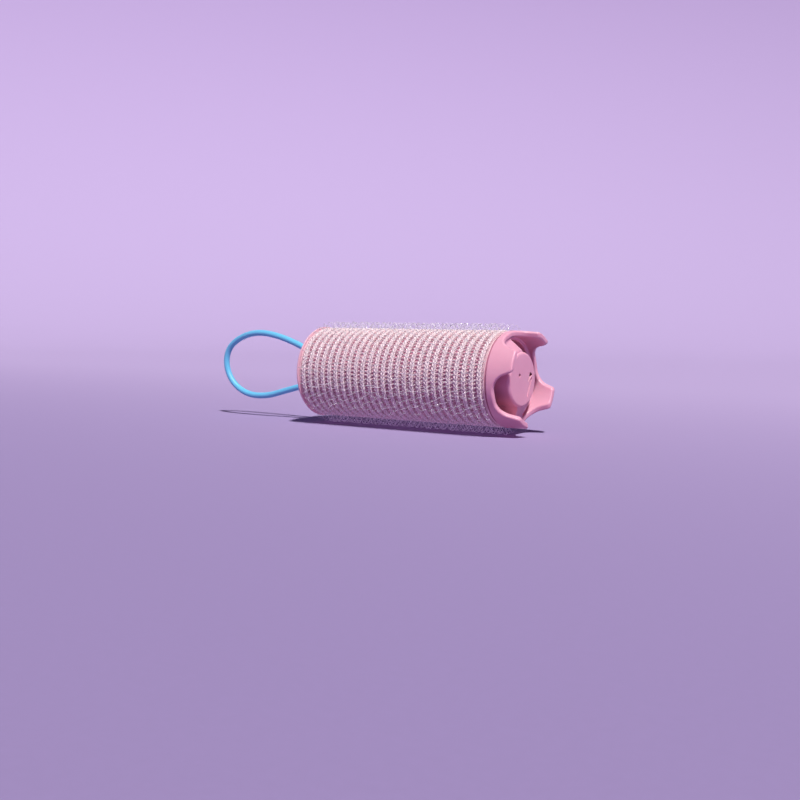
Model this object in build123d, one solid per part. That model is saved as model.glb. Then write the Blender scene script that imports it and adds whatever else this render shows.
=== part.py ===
from build123d import *
import math
import os

# A self-grip hair roller, lying on its side. X is the roller's axis and points to the crown,
# Z is up, and the origin is on the ground under the middle of the roller. Millimetres.

# Driving dimensions
overall_length = 75.0          # crown tips to the outer face of the loop-end cap
hook_diameter = 32.0           # over the hooks: the size that the roller is sold by
crown_length = 7.8             # crown tips to the edge of the hook fabric
crown_radius = 13.85
flange_radius = 14.15
flange_thickness = 0.65
axis_height = hook_diameter / 2

# Core tube
core_radius = 13.2
core_wall = 1.0
core_bore = core_radius - core_wall
fit_gap = 0.02                 # between pieces that are pressed or glued together

# Hook fabric, from the inside out
ground_thickness = 0.3
band_height = 0.45
band_width = 1.4
band_pitch = 2.5
last_band_inset = 2.3          # of the last band's middle from the crown
hem_width = 0.5
hem_height = 0.3
crown_groove = 0.6             # bare core between the fabric and the crown
pile_gap_loop_end = 1.7        # bare fabric between the flange and the first hooks
pile_overhang = 0.4            # how far the last hooks lean over the crown

# Crown
prong_count = 4
prong_clocking = 25.0          # of the first prong from straight up, towards +Y
prong_wall = 1.7
scallop_depth = 5.85
scallop_half_width = 6.82      # at the prongs' tips
scallop_slope = 0.319          # how much a scallop's half width shrinks per millimetre of depth
scallop_fillet = 4.6
scallop_reach_in = 8.9         # how near to the axis a gap's cutter comes, clear of the hub
prong_tip_fillet = 1.1
crown_edge_fillet = 0.55
ledge_depth = 6.9
pocket_depth = 13.0
floor_thickness = 1.2
spigot_wall = 1.0

# Hub in the middle of the crown, and the two webs that carry it
hub_depth = 3.55
hub_radius = 7.95
hub_edge_fillet = 0.9
hub_wall = 1.4
web_rise = 0.5                 # from a web's low end, in the gap, up to just below the hub's face
web_half_width_wall = 1.8
web_half_width_hub = 4.0
web_angles = (142.0, 308.0)    # from the first prong
slot_offset = 4.6              # of the slot's middle, across the hub's face
slot_drop = 0.25
slot_length = 6.0
slot_width = 0.8
slot_depth = 0.6
notch_top = 3.8                # of the wedge-shaped hole beside the slot, up the hub's face
notch_length = 3.1
notch_width = 1.75             # at its wide end
notch_skin = 0.35              # thickness of the hub's face round the hole
notch_margin = 0.6             # by which the face is thinned beyond the hole
pin_hole_radius = 0.58
pin_hole_place = (-2.3, 0.35)

# Loop-end cap
cap_spigot_length = 7.0
cap_dish_radius = 11.4
cap_dish_depth = 0.5
boss_radius = 2.3
boss_length = 5.0

# Elastic cord, its two ferrules and the hinge line of the free loop
cord_diameter = 2.0
cord_radius = cord_diameter / 2
cord_hole_radius = 1.15
leg_height = 4.6               # of each leg above or below the roller's axis
hinge_standoff = 1.35          # of the hinge line from the dished face
leg_gap = 0.12                 # between the free loop and the legs inside
stretch = 12.0                 # how far the elastic can be drawn out
ferrule_radius = 1.9
ferrule_length = 5.0

x_tip = overall_length / 2
x_end = -overall_length / 2
x_seam = x_tip - crown_length
x_flange = x_end + flange_thickness
x_fabric_end = x_seam - crown_groove
x_dish = x_end + cap_dish_depth
x_hinge = x_dish - hinge_standoff
x_spigot_cap = x_flange + cap_spigot_length
x_cap_inside = x_flange + 0.6
x_boss = x_cap_inside + boss_length
x_ferrule = x_boss + stretch + 0.3
ground_radius = core_radius + ground_thickness
band_radius = ground_radius + band_height
pile_radius = hook_diameter / 2


def turned(*corners):
    """A solid of revolution about the X axis. Each corner is (x, radius, fillet)."""
    outline = FilletPolyline(
        *[(x, r) for x, r, _ in corners],
        radius=[fillet_radius for _, _, fillet_radius in corners],
        close=True,
    )
    return revolve(Plane.XZ * make_face(outline), Axis.X)


def ring(x_low, x_high, inner, outer, edge=0.0):
    """A plain ring about the X axis, with its two outer edges rounded."""
    return turned(
        (x_low, inner, 0),
        (x_low, outer, edge),
        (x_high, outer, edge),
        (x_high, inner, 0),
    )


def facing(angle):
    """Turns a shape about the X axis, so that its +Z side faces `angle` from up towards +Y."""
    return Rot(-angle, 0, 0)


def core_tube():
    """The moulded tube that everything is built on."""
    return ring(x_flange + fit_gap, x_seam - fit_gap, core_bore, core_radius)


def fabric_ground():
    """The flat net of the hook fabric, wrapped and glued round the core."""
    return ring(
        x_flange + hem_width,
        x_fabric_end - hem_width,
        core_radius + fit_gap,
        ground_radius,
    )


def fabric_bands():
    """The raised knitted rows that the hooks stand in, one ring each."""
    last = x_seam - last_band_inset
    usable = last - x_flange - hem_width - band_width / 2
    count = int(usable / band_pitch) + 1
    first = last - (count - 1) * band_pitch
    rows = []
    for i in range(count):
        middle = first + i * band_pitch
        rows.append(
            ring(
                middle - band_width / 2,
                middle + band_width / 2,
                ground_radius + fit_gap,
                band_radius,
                0.2,
            )
        )
    return rows


def hook_pile():
    """The space that the hooks fill, outside the bands. It overhangs the crown a little."""
    return ring(
        x_flange + pile_gap_loop_end,
        x_seam + pile_overhang,
        band_radius + fit_gap,
        pile_radius,
        0.8,
    )


def hem(x_low):
    """A heat-sealed strip that keeps one cut edge of the fabric from fraying."""
    return ring(
        x_low + fit_gap,
        x_low + hem_width - fit_gap,
        core_radius + fit_gap,
        core_radius + hem_height,
        0.1,
    )


def scallop():
    """The cutter for one gap between two prongs, at the top, running outwards along +Z."""
    at_bottom = scallop_half_width - scallop_slope * scallop_depth
    wide = scallop_half_width + 3.0
    corners = (
        (1.0, -wide, 0),
        (1.0, wide, 0),
        (0.0, wide, 0),
        (0.0, scallop_half_width, prong_tip_fillet),
        (-scallop_depth, at_bottom, scallop_fillet),
        (-scallop_depth, -at_bottom, scallop_fillet),
        (0.0, -scallop_half_width, prong_tip_fillet),
        (0.0, -wide, 0),
    )
    outline = FilletPolyline(
        *[(x_tip + x, y) for x, y, _ in corners],
        radius=[r for _, _, r in corners],
        close=True,
    )
    outward = crown_radius + 4.0 - scallop_reach_in
    return extrude(Plane.XY.offset(scallop_reach_in) * make_face(outline), outward)


def web(angle):
    """One web from the hub down to the bottom of a gap, flared where it meets the hub."""
    x_low = x_tip - scallop_depth - 0.25
    x_high = x_tip - hub_depth - web_rise
    x_floor = x_tip - pocket_depth - 0.2
    middle_radius = hub_radius - 1.2
    outline = Polyline(
        (-web_half_width_hub, middle_radius),
        (-web_half_width_wall, crown_radius),
        (web_half_width_wall, crown_radius),
        (web_half_width_hub, middle_radius),
        close=True,
    )
    face = Plane(origin=(x_floor, 0, 0), x_dir=(0, 1, 0), z_dir=(1, 0, 0)) * make_face(outline)
    inside = turned(
        (x_floor, 0, 0),
        (x_floor, core_bore - 0.5, 0),
        (x_seam + 0.6, core_bore - 0.5, 0),
        (x_seam + 0.6, crown_radius - 0.6, 0),
        (x_low, crown_radius - 0.6, 0),
        (x_low, crown_radius - prong_wall - 0.6, 1.2),
        (x_high, hub_radius + 0.4, 1.2),
        (x_high, 0, 0),
    )
    return facing(angle) * (extrude(face, x_high - x_floor) & inside)


def crown_body():
    """The crown's wall, pocket, hub and spigot, before the gaps are cut."""
    x_floor = x_tip - pocket_depth
    x_back = x_floor - floor_thickness
    x_face = x_tip - hub_depth
    inner = crown_radius - prong_wall
    spigot_bore = core_bore - fit_gap - spigot_wall
    return turned(
        (x_tip, inner, 0),
        (x_tip, crown_radius, 0),
        (x_seam, crown_radius, 0.3),
        (x_seam, core_bore - fit_gap, 0),
        (x_back, core_bore - fit_gap, 0.4),
        (x_back, hub_radius - hub_wall, 0),
        (x_face - hub_wall, hub_radius - hub_wall, 0),
        (x_face - hub_wall, 0, 0),
        (x_face, 0, 0),
        (x_face, hub_radius, hub_edge_fillet),
        (x_floor, hub_radius, 0.5),
        (x_floor, spigot_bore, 0.5),
        (x_tip - ledge_depth, spigot_bore, 0.4),
        (x_tip - ledge_depth, inner, 0.4),
    )


def hub_marks():
    """The cutters for the hub's face: the shallow pry slot, its wedge-shaped hole and the pin hole."""
    through = hub_wall + 0.2
    face = Plane(origin=(x_tip - hub_depth, 0, 0), x_dir=(0, 1, 0), z_dir=(1, 0, 0))
    slot = Pos(slot_offset, -slot_drop) * SlotOverall(slot_length, slot_width, rotation=90)
    corner = Pos(slot_offset + slot_width / 2 - 0.25, notch_top)
    wedge = corner * make_face(
        FilletPolyline(
            (-notch_width, 0),
            (0, 0),
            (0.25 - notch_width, -notch_length),
            (-notch_width, -notch_length),
            radius=[0.2, 0.2, 0.08, 0.08],
            close=True,
        )
    )
    left = -notch_width - notch_margin
    bottom = -notch_length - notch_margin
    beside_slot = -0.7
    thinned = corner * make_face(
        Polyline(
            (left, notch_margin),
            (notch_margin, notch_margin),
            (notch_margin, beside_slot),
            (beside_slot, beside_slot),
            (beside_slot, bottom),
            (left, bottom),
            close=True,
        )
    )
    hole = Pos(*pin_hole_place) * Circle(pin_hole_radius)
    cut = extrude(face * slot, -slot_depth)
    cut += extrude(face * wedge, -through)
    cut += extrude(face.offset(-notch_skin) * thinned, notch_skin - through)
    cut += extrude(face * hole, -through)
    return cut


def is_rim_edge(edge):
    """True for the edges of the prongs and gaps, which a finger or the elastic touches."""
    middle = edge @ 0.5
    radius = math.hypot(middle.Y, middle.Z)
    outside = radius > crown_radius - prong_wall - 0.1
    return outside and middle.X > x_tip - scallop_depth - 0.1


def crown_cap():
    """The moulded crown: four prongs that catch the elastic, and that the roller stands on."""
    body = crown_body()
    for i in range(prong_count):
        body -= facing(45.0 + 360.0 / prong_count * i) * scallop()
    body = fillet(body.edges().filter_by(is_rim_edge), crown_edge_fillet)
    for angle in web_angles:
        body += web(angle)
    body -= hub_marks()
    return facing(prong_clocking) * body


def loop_end_cap():
    """The moulded cap with the two cord holes, and a guide boss round each hole inside."""
    spigot_radius = core_bore - fit_gap
    bore = spigot_radius - spigot_wall
    body = turned(
        (x_end, flange_radius, 0.4),
        (x_flange, flange_radius, 0.15),
        (x_flange, spigot_radius, 0),
        (x_spigot_cap, spigot_radius, 0.4),
        (x_spigot_cap, bore, 0),
        (x_cap_inside, bore, 0.4),
        (x_cap_inside, 0, 0),
        (x_dish, 0, 0),
        (x_dish, cap_dish_radius - cap_dish_depth, 0.4),
        (x_end, cap_dish_radius, 0.3),
    )
    for side in (-1, 1):
        at = Pos(x_boss - boss_length / 2 - 0.2, 0, side * leg_height) * Rot(0, 90, 0)
        body += at * Cylinder(boss_radius, boss_length + 0.4)
    for side in (-1, 1):
        at = Pos(x_cap_inside, 0, side * leg_height) * Rot(0, 90, 0)
        body -= at * Cylinder(cord_hole_radius, 30)
    mouths = [
        edge
        for edge in body.edges().filter_by(GeomType.CIRCLE)
        if abs(edge.radius - cord_hole_radius) < 0.01 and abs((edge @ 0).X - x_dish) < 0.01
    ]
    return fillet(mouths, 0.35)


def loop_route():
    """The free loop's line in the XZ plane, from the upper hole round to the lower one."""
    z = axis_height
    return (
        (x_hinge, z + leg_height),
        (-42.6, z + 5.7),
        (-49.0, z + 8.5),
        (-57.5, z + 11.1),
        (-66.5, z + 12.2),
        (-74.5, z + 10.2),
        (-79.9, z + 6.4),
        (-81.0, z + 0.4),
        (-77.6, z - 5.7),
        (-70.6, z - 9.2),
        (-62.0, z - 9.2),
        (-53.5, z - 6.9),
        (-46.0, z - 5.0),
        (x_hinge, z - leg_height),
    )


def corner_radii(points):
    """Each corner's arc: 0.45 of its shorter run, over the tangent of half its turn."""
    radii = []
    for before, here, after in zip(points, points[1:], points[2:]):
        incoming = Vector(*here) - Vector(*before)
        outgoing = Vector(*after) - Vector(*here)
        half_turn = math.radians(incoming.get_angle(outgoing)) / 2
        shorter = min(incoming.length, outgoing.length)
        radii.append(0.45 * shorter / math.tan(half_turn))
    return radii


def elastic_loop():
    """The loop outside the cap. Its ends are round, so that it can swing on the hinge line."""
    points = [(x, 0.0, z) for x, z in loop_route()]
    radii = corner_radii(points)
    path = FilletPolyline(*points, radius=radii)
    section = Plane(origin=path @ 0, z_dir=path % 0) * Circle(cord_radius)
    tube = sweep(section, path)
    print("loop radii", [round(r, 1) for r in radii])
    print("loop length", round(path.length, 1), "volume", round(tube.volume, 1))
    print("section times length", round(math.pi * cord_radius**2 * path.length, 1))
    for end in (points[0], points[-1]):
        tube += Pos(*end) * Sphere(cord_radius)
    return tube


def cord_legs():
    """The two straight ends of the elastic, through the holes and into the ferrules."""
    x_out = x_hinge + cord_radius + leg_gap
    x_in = x_ferrule + ferrule_length - 0.3
    legs = []
    for side in (-1, 1):
        middle = Pos((x_out + x_in) / 2, 0, axis_height + side * leg_height)
        legs.append(middle * Rot(0, 90, 0) * Cylinder(cord_radius, x_in - x_out))
    return legs


def cord_ferrules():
    """The crimped metal sleeves that stop the elastic from leaving the cap."""
    sleeves = []
    for side in (-1, 1):
        tube = ring(0, ferrule_length, cord_radius + 0.01, ferrule_radius, 0.3)
        sleeves.append(Pos(x_ferrule, 0, axis_height + side * leg_height) * tube)
    return sleeves


def write(name, shape, lift=True):
    """Writes one sub-part, lifted so that the hooks touch the ground."""
    if isinstance(shape, list):
        shape = Compound(children=shape)
    if lift:
        shape = Pos(0, 0, axis_height) * shape
    shape.label = name
    export_step(shape, f"parts/{name}.step")


os.makedirs("parts", exist_ok=True)
write("core_tube", core_tube())
write("fabric_ground", fabric_ground())
write("fabric_bands", fabric_bands())
write("hook_pile", hook_pile())
write("hem_loop_end", hem(x_flange))
write("hem_crown_end", hem(x_fabric_end - hem_width))
write("crown_cap", crown_cap())
write("loop_end_cap", loop_end_cap())
write("elastic_loop", elastic_loop(), lift=False)
write("cord_legs", cord_legs(), lift=False)
write("cord_ferrules", cord_ferrules(), lift=False)
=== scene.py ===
import math

import bpy
import numpy as np
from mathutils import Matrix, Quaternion, Vector


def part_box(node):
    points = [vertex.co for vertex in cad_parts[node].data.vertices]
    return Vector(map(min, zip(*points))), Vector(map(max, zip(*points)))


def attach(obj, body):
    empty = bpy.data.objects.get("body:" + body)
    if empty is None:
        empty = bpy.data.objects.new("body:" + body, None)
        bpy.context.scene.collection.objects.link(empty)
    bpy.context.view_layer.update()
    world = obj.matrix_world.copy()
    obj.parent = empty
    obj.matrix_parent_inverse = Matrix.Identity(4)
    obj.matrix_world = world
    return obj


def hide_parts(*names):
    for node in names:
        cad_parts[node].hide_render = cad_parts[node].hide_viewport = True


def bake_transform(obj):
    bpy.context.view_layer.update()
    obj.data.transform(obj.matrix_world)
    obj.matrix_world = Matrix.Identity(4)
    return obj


# A self-grip hair roller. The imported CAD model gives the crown, the cap, the core and the ferrules.
# This script adds the hook fabric, its hems and the elastic cord. Metres, in the model's own frame.

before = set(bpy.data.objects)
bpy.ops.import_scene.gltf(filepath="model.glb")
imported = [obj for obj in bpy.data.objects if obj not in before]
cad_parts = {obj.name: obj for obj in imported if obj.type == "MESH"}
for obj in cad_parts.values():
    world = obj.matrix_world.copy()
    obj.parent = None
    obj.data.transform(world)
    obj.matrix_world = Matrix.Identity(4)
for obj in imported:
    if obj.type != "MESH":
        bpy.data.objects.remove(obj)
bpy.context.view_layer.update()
rng = np.random.default_rng(20)

MM = 0.001

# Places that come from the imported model
ground_low, ground_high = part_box("fabric_ground")
bands_low, bands_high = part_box("fabric_bands")
pile_low, pile_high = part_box("hook_pile")
core_low, core_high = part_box("core_tube")
legs_inner_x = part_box("cord_legs")[1][0]
hem_loop_low, hem_loop_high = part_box("hem_loop_end")
hem_crown_low, hem_crown_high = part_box("hem_crown_end")
AXIS_Z = (pile_low[2] + pile_high[2]) / 2
CORE_R = (core_high[2] - core_low[2]) / 2       # these four are the CAD layers' outer radii
GROUND_R = (ground_high[2] - ground_low[2]) / 2
BAND_R = (bands_high[2] - bands_low[2]) / 2
PILE_R = (pile_high[2] - pile_low[2]) / 2

# Hook fabric
BAND_WIDTH = 1.4 * MM
BAND_PITCH = 2.5 * MM
BAND_COUNT = round((bands_high[0] - bands_low[0] - BAND_WIDTH) / BAND_PITCH) + 1
BAND_FIRST = bands_low[0] + BAND_WIDTH / 2
STITCHES = 76                       # round one row, about 1.15 mm each
BAND_YARN_R = 0.22 * MM
STRAIGHT_GAP = 0.42 * MM            # between the straight yarns under a row
NET_YARN_R = 0.2 * MM
NET_MARGIN = 0.45 * MM              # from a row's middle to the nets on both sides of it
HOOKS = STITCHES // 2               # that lean one way, round one row
HOOK_WIRE_R = 0.07 * MM
HOOK_TIP_GAP = 0.04 * MM            # under the pile's outer surface
HOOK_ROOT_DEPTH = 0.35 * MM         # under the row's top
HOOK_FOOT = 0.12 * MM               # from the row's middle

# Melted hems
HEM_HEIGHT = 0.3 * MM
HEM_CLEARANCE = 0.02 * MM           # above the core
HEM_RAGGED = 0.03 * MM              # how far the edges wander

# Elastic cord: the loop's route in the XZ plane, then the straight legs inside the roller
CORD_D = 2.0 * MM
X_HINGE = -38.35 * MM
LEG_Z = 4.6 * MM                    # from the axis to each leg's middle
LOOP_ROUTE = [
    (-38.35, 20.6),
    (-42.6, 21.7),
    (-49.0, 24.5),
    (-57.5, 27.1),
    (-66.5, 28.2),
    (-74.5, 26.2),
    (-79.9, 22.4),
    (-81.0, 16.4),
    (-77.6, 10.3),
    (-70.6, 6.8),
    (-62.0, 6.8),
    (-53.5, 9.1),
    (-46.0, 11.0),
    (-38.35, 11.4),
]


# ---------------------------------------------------------------------------------------- camera

def add_camera():
    """A low view from beside the crown, at the angle that shows the crown's face and the loop."""
    place = Vector((173.1, -263.4, 30.1)) * MM
    aim = Vector((-7.8, -0.4, 8.2)) * MM
    roll = Quaternion((0, 0, 1), math.radians(0.8))
    camera = bpy.data.objects.new("camera", bpy.data.cameras.new("camera"))
    camera.location = place
    camera.rotation_euler = ((aim - place).to_track_quat("-Z", "Y") @ roll).to_euler()
    camera.data.lens = 47.2
    camera.data.sensor_width = 36.0
    camera.data.clip_start = 0.01
    bpy.context.collection.objects.link(camera)
    bpy.context.scene.camera = camera


# ---------------------------------------------------------------------------------------- meshes

def new_object(name, vertices, faces, uvs=None):
    """A smooth-shaded mesh object. uvs, if given, has one pair for each corner of each face."""
    mesh = bpy.data.meshes.new(name)
    mesh.from_pydata(vertices.tolist(), [], faces)
    mesh.polygons.foreach_set("use_smooth", np.ones(len(mesh.polygons), bool))
    if uvs is not None:
        layer = mesh.uv_layers.new(name="thread")
        layer.data.foreach_set("uv", np.asarray(uvs, np.float32).ravel())
    obj = bpy.data.objects.new(name, mesh)
    bpy.context.collection.objects.link(obj)
    return obj


def whole_turn(points):
    """Evenly spread angles, all round."""
    return 2 * np.pi * np.arange(points) / points


def normalised(vectors):
    """The same directions, with a length of one."""
    return vectors / np.linalg.norm(vectors, axis=-1, keepdims=True)


def tubes(name, lines, radius, facing, sides, closed=False):
    """Round tubes along lines, an array (line, point, xyz). facing is a direction across each point.

    The UV map runs along a tube in U, in metres, and once round it in V.
    """
    count, points = lines.shape[:2]
    if closed:
        ahead = np.roll(lines, -1, axis=1) - np.roll(lines, 1, axis=1)
    else:
        ahead = np.gradient(lines, axis=1)
    tangent = normalised(ahead)
    side = normalised(np.cross(tangent, facing))
    up = np.cross(side, tangent)
    angles = whole_turn(sides)
    cosine = np.cos(angles)[None, None, :, None]
    sine = np.sin(angles)[None, None, :, None]
    spread = cosine * up[:, :, None] + sine * side[:, :, None]
    vertices = lines[:, :, None] + radius * spread

    index = np.arange(count * points * sides).reshape(count, points, sides)
    rings = points if closed else points - 1
    here = index[:, :rings]
    there = np.roll(index, -1, axis=1)[:, :rings]
    here_next = np.roll(here, -1, axis=2)
    there_next = np.roll(there, -1, axis=2)
    quads = np.stack([here, here_next, there_next, there], axis=-1).reshape(-1, 4)

    steps = np.linalg.norm(np.diff(lines, axis=1), axis=2)
    along = np.concatenate([np.zeros((count, 1)), np.cumsum(steps, axis=1)], axis=1)
    start = along[:, :rings]
    end = start + steps[:, :1] if closed else along[:, 1:]
    u0 = np.broadcast_to(start[:, :, None], here.shape)
    u1 = np.broadcast_to(end[:, :, None], here.shape)
    v0 = np.broadcast_to(np.arange(sides) / sides, here.shape)
    v1 = v0 + 1 / sides
    corners = np.stack([u0, v0, u0, v1, u1, v1, u1, v0], axis=-1).reshape(-1, 2)

    faces = quads.tolist()
    uvs = [corners]
    if not closed:
        faces += index[:, 0, ::-1].tolist()
        faces += index[:, -1].tolist()
        uvs.append(np.zeros((2 * count * sides, 2)))
    return new_object(name, vertices.reshape(-1, 3), faces, np.concatenate(uvs))


def polar(x, radius, angle):
    """Points at a distance from the roller's axis, at an angle from straight up towards +Y."""
    y = radius * np.sin(angle)
    z = AXIS_Z + radius * np.cos(angle)
    return np.stack(np.broadcast_arrays(x, y, z), axis=-1)


def outward(angle):
    """The direction away from the roller's axis at an angle."""
    return np.stack([0 * angle, np.sin(angle), np.cos(angle)], axis=-1)


# ---------------------------------------------------------------------------------------- fabric

def knitted_row(number, middle):
    """One raised row: three yarns plaited over three straight ones, round the roller."""
    yarns = 3
    waves = STITCHES // yarns
    angle = whole_turn(waves * 12)
    swing = BAND_WIDTH / 2 - BAND_YARN_R
    turned = rng.uniform(0, 2 * np.pi)
    phases = whole_turn(yarns)[:, None] + waves * angle + turned
    plait_x = middle + swing * np.sin(phases)
    plait_r = BAND_R + BAND_YARN_R * (0.5 * np.sin(2 * phases) - 1.5)
    straight_x = middle + STRAIGHT_GAP * np.array([-1, 0, 1])[:, None] + 0 * angle
    straight_r = np.full_like(straight_x, GROUND_R)
    x = np.concatenate([plait_x, straight_x])
    radius = np.concatenate([plait_r, straight_r])
    lines = polar(x, radius, angle)
    return tubes(f"band_{number:02d}", lines, BAND_YARN_R, outward(angle), 6, closed=True)


def net():
    """The open ground between the rows: two yarns in each gap that cross and leave round openings."""
    waves = STITCHES // 2
    angle = whole_turn(waves * 8)
    reach = BAND_PITCH / 2 - NET_MARGIN
    first = ground_low[0] + NET_YARN_R
    last = ground_high[0] - NET_YARN_R
    lines = []
    for gap in range(BAND_COUNT + 1):
        middle = BAND_FIRST + BAND_PITCH * (gap - 0.5)
        for sign in (-1, 1):
            x = np.clip(middle + sign * reach * np.sin(waves * angle), first, last)
            lift = NET_YARN_R * (0.35 * sign * np.cos(waves * angle) - 1.2)
            lines.append(polar(x, GROUND_R + lift, angle))
    return tubes("net", np.array(lines), NET_YARN_R, outward(angle), 4, closed=True)


def hook_row(number, middle, leans):
    """One row of nylon hooks. Each leans over a gap and curls back down at its tip.

    The rows are staggered by half a step, so that the hooks of neighbouring rows cross in diamonds.
    """
    count = HOOKS * len(leans)
    step = 2 * np.pi / HOOKS
    shift = (number % 2) / 2 + rng.normal(0, 0.12)
    angle = (np.repeat(np.arange(HOOKS), len(leans)) + shift + rng.normal(0, 0.11, count)) * step
    lean_side = np.tile(leans, HOOKS)
    lean = np.radians(rng.normal(34, 4, count))
    curl = np.radians(rng.normal(150, 25, count))
    bend = rng.normal(0.46, 0.05, count) * MM
    root = BAND_R - HOOK_ROOT_DEPTH
    shorter = np.abs(rng.normal(0, 0.10, count)) * MM
    top = PILE_R - HOOK_WIRE_R - HOOK_TIP_GAP - shorter
    leg = (top - root - bend * (1 - np.sin(lean))) / np.cos(lean)

    # A straight leg, then an arc. s goes along the roller and h goes up from the root.
    leg_points = 2
    arc_points = 8
    lean, curl, bend, leg = lean[:, None], curl[:, None], bend[:, None], leg[:, None]
    leg_s = leg * np.sin(lean)
    leg_h = leg * np.cos(lean)
    share = np.arange(leg_points) / leg_points
    turn = lean + np.linspace(0, 1, arc_points) * curl
    arc_s = leg_s + bend * (np.cos(lean) - np.cos(turn))
    arc_h = leg_h + bend * (np.sin(turn) - np.sin(lean))
    s = np.concatenate([share * leg_s, arc_s], axis=1)
    h = np.concatenate([share * leg_h, arc_h], axis=1)

    sway = rng.normal(0, 0.25, count)[:, None]
    around = angle[:, None] + sway * s / PILE_R
    x = middle + lean_side[:, None] * (HOOK_FOOT + s)
    lines = polar(x, root + h, around)
    facing = np.stack([0 * around, np.cos(around), -np.sin(around)], axis=-1)
    return tubes(f"hooks_{number:02d}", lines, HOOK_WIRE_R, facing, 6)


def hem(name, x_low, x_high):
    """A strip of melted yarn where the fabric was cut: lumpy, with the net's ends in it."""
    points = STITCHES * 6
    profile = 14
    angle = whole_turn(points)
    wave = 0 * angle
    for waves in (7, 13, 29, 47, STITCHES):
        wave += rng.uniform(0.3, 1) * np.sin(waves * angle + rng.uniform(0, 7))
    middle = (x_low + x_high) / 2
    half = (x_high - x_low) / 2
    lumps = wave[:, None] / 3
    turn = whole_turn(profile)
    x = middle + (half + HEM_RAGGED * (lumps - 1)) * np.cos(turn)
    height = HEM_HEIGHT * (0.5 + 0.42 * (1 + 0.12 * lumps) * np.sin(turn))
    radius = CORE_R + HEM_CLEARANCE + height
    vertices = polar(x, radius, angle[:, None]).reshape(-1, 3)
    index = np.arange(points * profile).reshape(points, profile)
    there = np.roll(index, -1, axis=0)
    quads = np.stack([index, there, np.roll(there, -1, axis=1), np.roll(index, -1, axis=1)], axis=-1)
    return new_object(name, vertices, quads.reshape(-1, 4).tolist())


# ---------------------------------------------------------------------------------------- cord

def route_points():
    """The cord's line, read from a smooth spline along the route and both legs."""
    inside = legs_inner_x
    halfway = (inside + X_HINGE) / 2
    top = AXIS_Z + LEG_Z
    bottom = AXIS_Z - LEG_Z
    controls = [(inside, top), (halfway, top)]
    controls += [(x * MM, z * MM) for x, z in LOOP_ROUTE]
    controls += [(halfway, bottom), (inside, bottom)]
    curve = bpy.data.curves.new("route", "CURVE")
    curve.dimensions = "3D"
    curve.resolution_u = 12
    spline = curve.splines.new("NURBS")
    spline.points.add(len(controls) - 1)
    for point, (x, z) in zip(spline.points, controls):
        point.co = (x, 0.0, z, 1.0)
    spline.order_u = 3
    spline.use_endpoint_u = True
    holder = bpy.data.objects.new("route", curve)
    line = bpy.data.meshes.new_from_object(holder)
    points = np.array([vertex.co for vertex in line.vertices])
    bpy.data.objects.remove(holder)
    bpy.data.curves.remove(curve)
    bpy.data.meshes.remove(line)
    return points


def elastic_cord():
    """The cord as one tube, and the line along its middle."""
    points = route_points()
    facing = np.broadcast_to(np.array([0.0, 1.0, 0.0]), points.shape)
    cord = tubes("elastic_cord", points[None], CORD_D / 2, facing[None], 24)
    return cord, points


# ---------------------------------------------------------------------------------------- materials

class Shader:
    """A small helper that adds nodes to one material and links them."""

    def __init__(self, name):
        self.material = bpy.data.materials.new(name)
        self.material.use_nodes = True
        self.tree = self.material.node_tree
        self.surface = self.tree.nodes["Principled BSDF"]

    def node(self, kind, **values):
        made = self.tree.nodes.new("ShaderNode" + kind)
        for key, value in values.items():
            setattr(made, key, value)
        return made

    def link(self, source, target):
        self.tree.links.new(source, target)

    def constants(self, **values):
        for key, value in values.items():
            self.surface.inputs[key.replace("_", " ")].default_value = value

    def place(self):
        """Where a point is, in the object's own space."""
        return self.node("TexCoord").outputs["Object"]

    def thread(self):
        """How far along a yarn a point is, and how far round it."""
        return self.node("UVMap", uv_map="thread").outputs["UV"]

    def scaled(self, vector, scale):
        mapping = self.node("Mapping")
        self.link(vector, mapping.inputs["Vector"])
        mapping.inputs["Scale"].default_value = scale
        return mapping.outputs["Vector"]

    def noise(self, vector, scale, detail=3.0, roughness=0.5):
        made = self.node("TexNoise")
        self.link(vector, made.inputs["Vector"])
        made.inputs["Scale"].default_value = scale
        made.inputs["Detail"].default_value = detail
        made.inputs["Roughness"].default_value = roughness
        return made.outputs["Fac"]

    def ramp(self, factor, low, high, start=0.3, end=0.7):
        made = self.node("ValToRGB")
        made.color_ramp.elements[0].position = start
        made.color_ramp.elements[0].color = (*low, 1.0)
        made.color_ramp.elements[1].position = end
        made.color_ramp.elements[1].color = (*high, 1.0)
        self.link(factor, made.inputs["Fac"])
        return made.outputs["Color"]

    def spread(self, factor, low, high):
        made = self.node("MapRange")
        self.link(factor, made.inputs["Value"])
        made.inputs["To Min"].default_value = low
        made.inputs["To Max"].default_value = high
        return made.outputs["Result"]

    def bump(self, height, distance, strength=1.0, before=None):
        made = self.node("Bump")
        self.link(height, made.inputs["Height"])
        made.inputs["Distance"].default_value = distance
        made.inputs["Strength"].default_value = strength
        if before is not None:
            self.link(before, made.inputs["Normal"])
        return made.outputs["Normal"]


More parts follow.
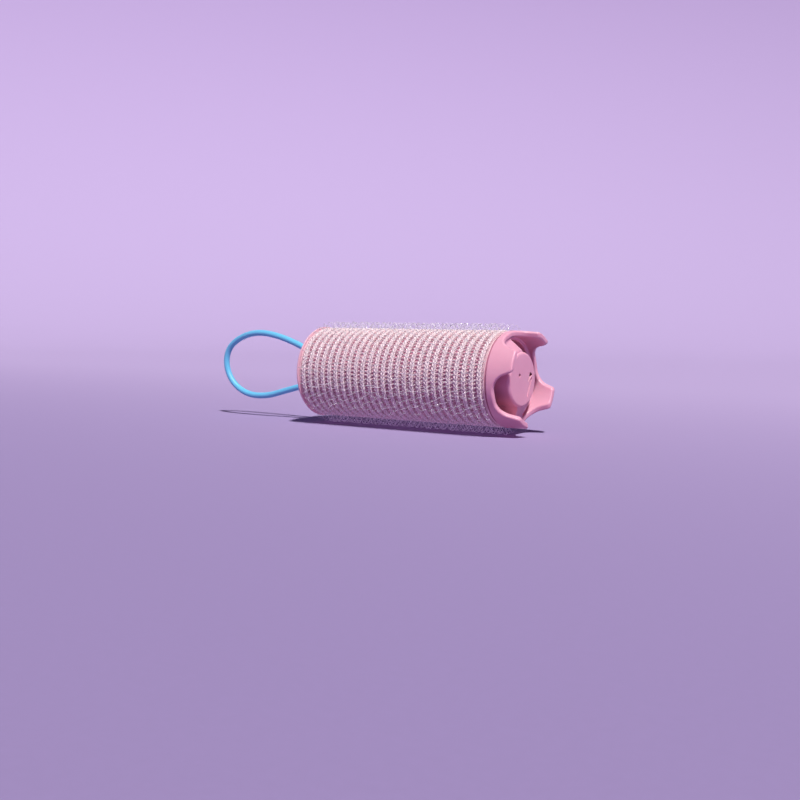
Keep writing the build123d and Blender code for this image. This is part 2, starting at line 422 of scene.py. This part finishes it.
def plastic(name, low, high, glow, rough=0.35):
    """Satin moulded plastic: faint mottling, a fine spark-eroded grain and soft depth."""
    shader = Shader(name)
    where = shader.place()
    cloud = shader.noise(where, 160.0, 4.0)
    shader.link(shader.ramp(cloud, low, high), shader.surface.inputs["Base Color"])
    worn = shader.noise(where, 900.0, 3.0)
    shader.link(shader.spread(worn, rough - 0.06, rough + 0.10), shader.surface.inputs["Roughness"])
    grain = shader.noise(where, 6000.0, 2.0)
    flow = shader.noise(shader.scaled(where, (120.0, 700.0, 700.0)), 1.0, 2.0)
    shaped = shader.bump(grain, 0.012 * MM)
    shaped = shader.bump(flow, 0.02 * MM, 0.6, shaped)
    shader.link(shaped, shader.surface.inputs["Normal"])
    shader.constants(
        Subsurface_Weight=glow,
        Subsurface_Radius=(1.0, 0.42, 0.45),
        Subsurface_Scale=1.6 * MM,
        IOR=1.49,
    )
    return shader.material


def yarn(name, low, high, twist=2600.0):
    """A spun nylon yarn: fine filaments that wind round it, with a soft sheen."""
    shader = Shader(name)
    thread = shader.thread()
    filaments = shader.node("TexWave", wave_type="BANDS", bands_direction="DIAGONAL")
    shader.link(shader.scaled(thread, (twist, 5.0, 1.0)), filaments.inputs["Vector"])
    filaments.inputs["Scale"].default_value = 1.0
    filaments.inputs["Distortion"].default_value = 1.5
    patchy = shader.noise(shader.place(), 1400.0, 3.0)
    shader.link(shader.ramp(patchy, low, high), shader.surface.inputs["Base Color"])
    shader.link(shader.spread(patchy, 0.45, 0.75), shader.surface.inputs["Roughness"])
    shader.link(shader.bump(filaments.outputs["Fac"], 0.05 * MM), shader.surface.inputs["Normal"])
    shader.constants(Sheen_Weight=0.35, Sheen_Roughness=0.4, IOR=1.53)
    return shader.material


def nylon_wire(name):
    """Clear nylon monofilament with a little milkiness where it was heat-set."""
    shader = Shader(name)
    milky = shader.noise(shader.place(), 2500.0, 2.0)
    shader.link(
        shader.ramp(milky, (0.86, 0.87, 0.99), (0.95, 0.96, 1.0)),
        shader.surface.inputs["Base Color"],
    )
    shader.link(shader.spread(milky, 0.08, 0.22), shader.surface.inputs["Roughness"])
    shader.constants(Alpha=0.38, IOR=1.53, Coat_Weight=0.8, Coat_Roughness=0.06)
    return shader.material


def elastic(name):
    """A smooth covered elastic: very fine diagonal braid under a satin surface."""
    shader = Shader(name)
    thread = shader.scaled(shader.thread(), (1100.0, 8.0, 1.0))
    weave = []
    for direction in (1.0, -1.0):
        wave = shader.node("TexWave", wave_type="BANDS", bands_direction="DIAGONAL")
        shader.link(shader.scaled(thread, (1.0, direction, 1.0)), wave.inputs["Vector"])
        wave.inputs["Scale"].default_value = 1.0
        weave.append(wave.outputs["Fac"])
    braid = shader.node("Math", operation="MULTIPLY")
    shader.link(weave[0], braid.inputs[0])
    shader.link(weave[1], braid.inputs[1])
    shader.link(
        shader.ramp(braid.outputs[0], (0.12, 0.52, 0.80), (0.20, 0.66, 0.92), 0.0, 1.0),
        shader.surface.inputs["Base Color"],
    )
    cloud = shader.noise(shader.place(), 600.0, 2.0)
    shader.link(shader.spread(cloud, 0.34, 0.50), shader.surface.inputs["Roughness"])
    shader.link(shader.bump(braid.outputs[0], 0.02 * MM), shader.surface.inputs["Normal"])
    shader.constants(Sheen_Weight=0.15, IOR=1.50)
    return shader.material


def crimped_metal(name):
    """Tinned metal with fine marks along it."""
    shader = Shader(name)
    where = shader.place()
    brushed = shader.noise(shader.scaled(where, (300.0, 6000.0, 6000.0)), 1.0, 3.0)
    shader.link(
        shader.ramp(brushed, (0.55, 0.55, 0.57), (0.78, 0.78, 0.80)),
        shader.surface.inputs["Base Color"],
    )
    shader.link(shader.spread(brushed, 0.22, 0.45), shader.surface.inputs["Roughness"])
    shader.link(shader.bump(brushed, 0.02 * MM), shader.surface.inputs["Normal"])
    shader.constants(Metallic=1.0)
    return shader.material


def wear(obj, material):
    """Gives an object one material."""
    obj.data.materials.clear()
    obj.data.materials.append(material)


# ---------------------------------------------------------------------------------------- stage

def add_stage():
    """A seamless pale sweep: a floor that curves up into a backdrop on every side.

    The floor gives no bounced light. The room below it, in add_lights, takes the place of that.
    """
    rings = 60
    spokes = 96
    flat = 0.9
    curve = 1.1
    wall = 1.2
    vertices = [(0.0, 0.0, 0.0)]
    # The rings go out over the flat floor, up the curve and up the wall, a third of them on each.
    for i in range(rings):
        third = 3 * (i + 1) / rings
        lift = min(max(third - 1, 0.0), 1.0) * math.pi / 2
        radius = flat * min(third, 1.0) + curve * math.sin(lift)
        height = curve * (1 - math.cos(lift)) + wall * max(third - 2, 0.0)
        for j in range(spokes):
            a = 2 * math.pi * j / spokes
            vertices.append((radius * math.cos(a), radius * math.sin(a), height))
    faces = [(0, 1 + j, 1 + (j + 1) % spokes) for j in range(spokes)]
    for i in range(rings - 1):
        for j in range(spokes):
            a = 1 + i * spokes + j
            b = 1 + i * spokes + (j + 1) % spokes
            faces.append((a, a + spokes, b + spokes, b))
    floor = new_object("sweep", np.array(vertices), faces)
    shader = Shader("sweep_paper")
    where = shader.place()
    fibre = shader.noise(where, 900.0, 4.0)
    split = shader.node("SeparateXYZ")
    shader.link(where, split.inputs["Vector"])
    # Painted shade: the paper's colour darkens towards -Y, the side the camera is on, and lightens
    # away from it, in place of the light falling off across the floor.
    far = shader.node("MapRange", interpolation_type="SMOOTHSTEP")
    shader.link(split.outputs["Y"], far.inputs["Value"])
    far.inputs["From Min"].default_value = -0.25
    far.inputs["From Max"].default_value = 0.3
    painted_falloff = shader.ramp(far.outputs["Result"], (0.275, 0.213, 0.425), (0.44, 0.35, 0.60), 0.0, 1.0)
    grain = shader.node("Mix", data_type="RGBA", blend_type="MULTIPLY")
    grain.inputs["Factor"].default_value = 0.06
    shader.link(painted_falloff, grain.inputs["A"])
    shader.link(fibre, grain.inputs["B"])
    shader.link(grain.outputs["Result"], shader.surface.inputs["Base Color"])
    shader.link(shader.spread(fibre, 0.82, 0.95), shader.surface.inputs["Roughness"])
    floor.data.materials.append(shader.material)
    floor.visible_diffuse = False
    return floor


def add_light(name, travel, distance, size, power, colour):
    """A round soft light that shines along `travel` at the roller."""
    direction = Vector(travel).normalized()
    lamp = bpy.data.objects.new(name, bpy.data.lights.new(name, "AREA"))
    lamp.location = Vector((0.0, 0.0, AXIS_Z)) - direction * distance
    lamp.rotation_euler = direction.to_track_quat("-Z", "Y").to_euler()
    lamp.data.shape = "DISK"
    lamp.data.size = size
    lamp.data.energy = power
    lamp.data.color = colour
    bpy.context.collection.objects.link(lamp)


def spare_from_shadow(lamp, blocker):
    """Keeps one object, such as the stage's own wall, from casting this lamp's shadow."""
    group = bpy.data.collections.new(lamp.name + "_blockers")
    group.objects.link(blocker)
    group.collection_objects[0].light_linking.link_state = "EXCLUDE"
    lamp.light_linking.blocker_collection = group


def add_lights(floor):
    """One warm key from the right and above, a weak fill, and a room that is lightest below."""
    direction = Vector((-0.385, 0.305, -0.871)).normalized()
    key = bpy.data.objects.new("key", bpy.data.lights.new("key", "SUN"))
    key.rotation_euler = direction.to_track_quat("-Z", "Y").to_euler()
    key.data.energy = 4.4
    key.data.angle = math.radians(5.0)
    key.data.color = (1.0, 0.955, 0.92)
    bpy.context.collection.objects.link(key)
    spare_from_shadow(key, floor)
    add_light("fill", (0.5, 0.75, -0.45), 1.5, 1.2, 0.25, (0.95, 0.88, 1.0))
    world = bpy.data.worlds.new("studio")
    world.use_nodes = True
    nodes = world.node_tree.nodes
    links = world.node_tree.links
    where = nodes.new("ShaderNodeTexCoord")
    split = nodes.new("ShaderNodeSeparateXYZ")
    height = nodes.new("ShaderNodeMapRange")
    height.inputs["From Min"].default_value = -0.35
    height.inputs["From Max"].default_value = 0.25
    room = nodes.new("ShaderNodeValToRGB")
    room.color_ramp.elements[0].color = (0.57, 0.34, 0.70, 1.0)
    room.color_ramp.elements[1].color = (0.06, 0.05, 0.09, 1.0)
    links.new(where.outputs["Generated"], split.inputs["Vector"])
    links.new(split.outputs["Z"], height.inputs["Value"])
    links.new(height.outputs["Result"], room.inputs["Fac"])
    links.new(room.outputs["Color"], nodes["Background"].inputs["Color"])
    bpy.context.scene.world = world
    bpy.context.scene.view_settings.view_transform = "Standard"


# ---------------------------------------------------------------------------------------- assembly

def build_fabric():
    """The rows with their hooks, the net between them and the hems, all on the roller."""
    band_yarn = yarn("band_yarn", (0.95, 0.73, 0.79), (1.0, 0.90, 0.93))
    net_yarn = yarn("net_yarn", (0.84, 0.52, 0.60), (0.95, 0.70, 0.76))
    wire = nylon_wire("hook_nylon")
    sealed = plastic("hem_tape", (0.68, 0.42, 0.48), (0.86, 0.64, 0.70), 0.0)
    for number in range(BAND_COUNT):
        middle = BAND_FIRST + number * BAND_PITCH
        band = knitted_row(number, middle)
        wear(band, band_yarn)
        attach(band, "roller")
        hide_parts("fabric_bands")
        leans = np.array([1.0]) if number == 0 else np.array([-1.0, 1.0])
        hooks = hook_row(number, middle, leans)
        wear(hooks, wire)
        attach(hooks, "roller")
        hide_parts("hook_pile")
    ground = net()
    wear(ground, net_yarn)
    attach(ground, "roller")
    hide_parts("fabric_ground")
    for name, low, high in (
        ("hem_loop_end", hem_loop_low, hem_loop_high),
        ("hem_crown_end", hem_crown_low, hem_crown_high),
    ):
        strip = hem(name + "_melted", low[0], high[0])
        wear(strip, sealed)
        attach(strip, "roller")
        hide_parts(name)


def build_cord():
    """One cord: a single tube round the loop and along both legs."""
    cord, points = elastic_cord()
    wear(cord, elastic("blue_elastic"))
    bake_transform(cord)
    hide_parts("elastic_loop", "cord_legs")


def dress_cad():
    """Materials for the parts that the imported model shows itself."""
    pink = plastic("pink_plastic", (0.74, 0.37, 0.49), (0.78, 0.40, 0.52), 0.12)
    thin_pink = plastic("cap_plastic", (0.74, 0.45, 0.54), (0.78, 0.48, 0.57), 0.0)
    # Painted shade: the core is a darker pink than the crown, partly its own colour and partly the
    # shade inside the net's openings, where it shows.
    core = plastic("core_plastic_painted_shade", (0.46, 0.17, 0.26), (0.54, 0.21, 0.31), 0.05)
    metal = crimped_metal("ferrule_metal")
    wear(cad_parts["crown_cap"], pink)
    wear(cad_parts["loop_end_cap"], thin_pink)
    wear(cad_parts["core_tube"], core)
    wear(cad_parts["cord_ferrules"], metal)


add_camera()
build_cord()
build_fabric()
dress_cad()
add_lights(add_stage())
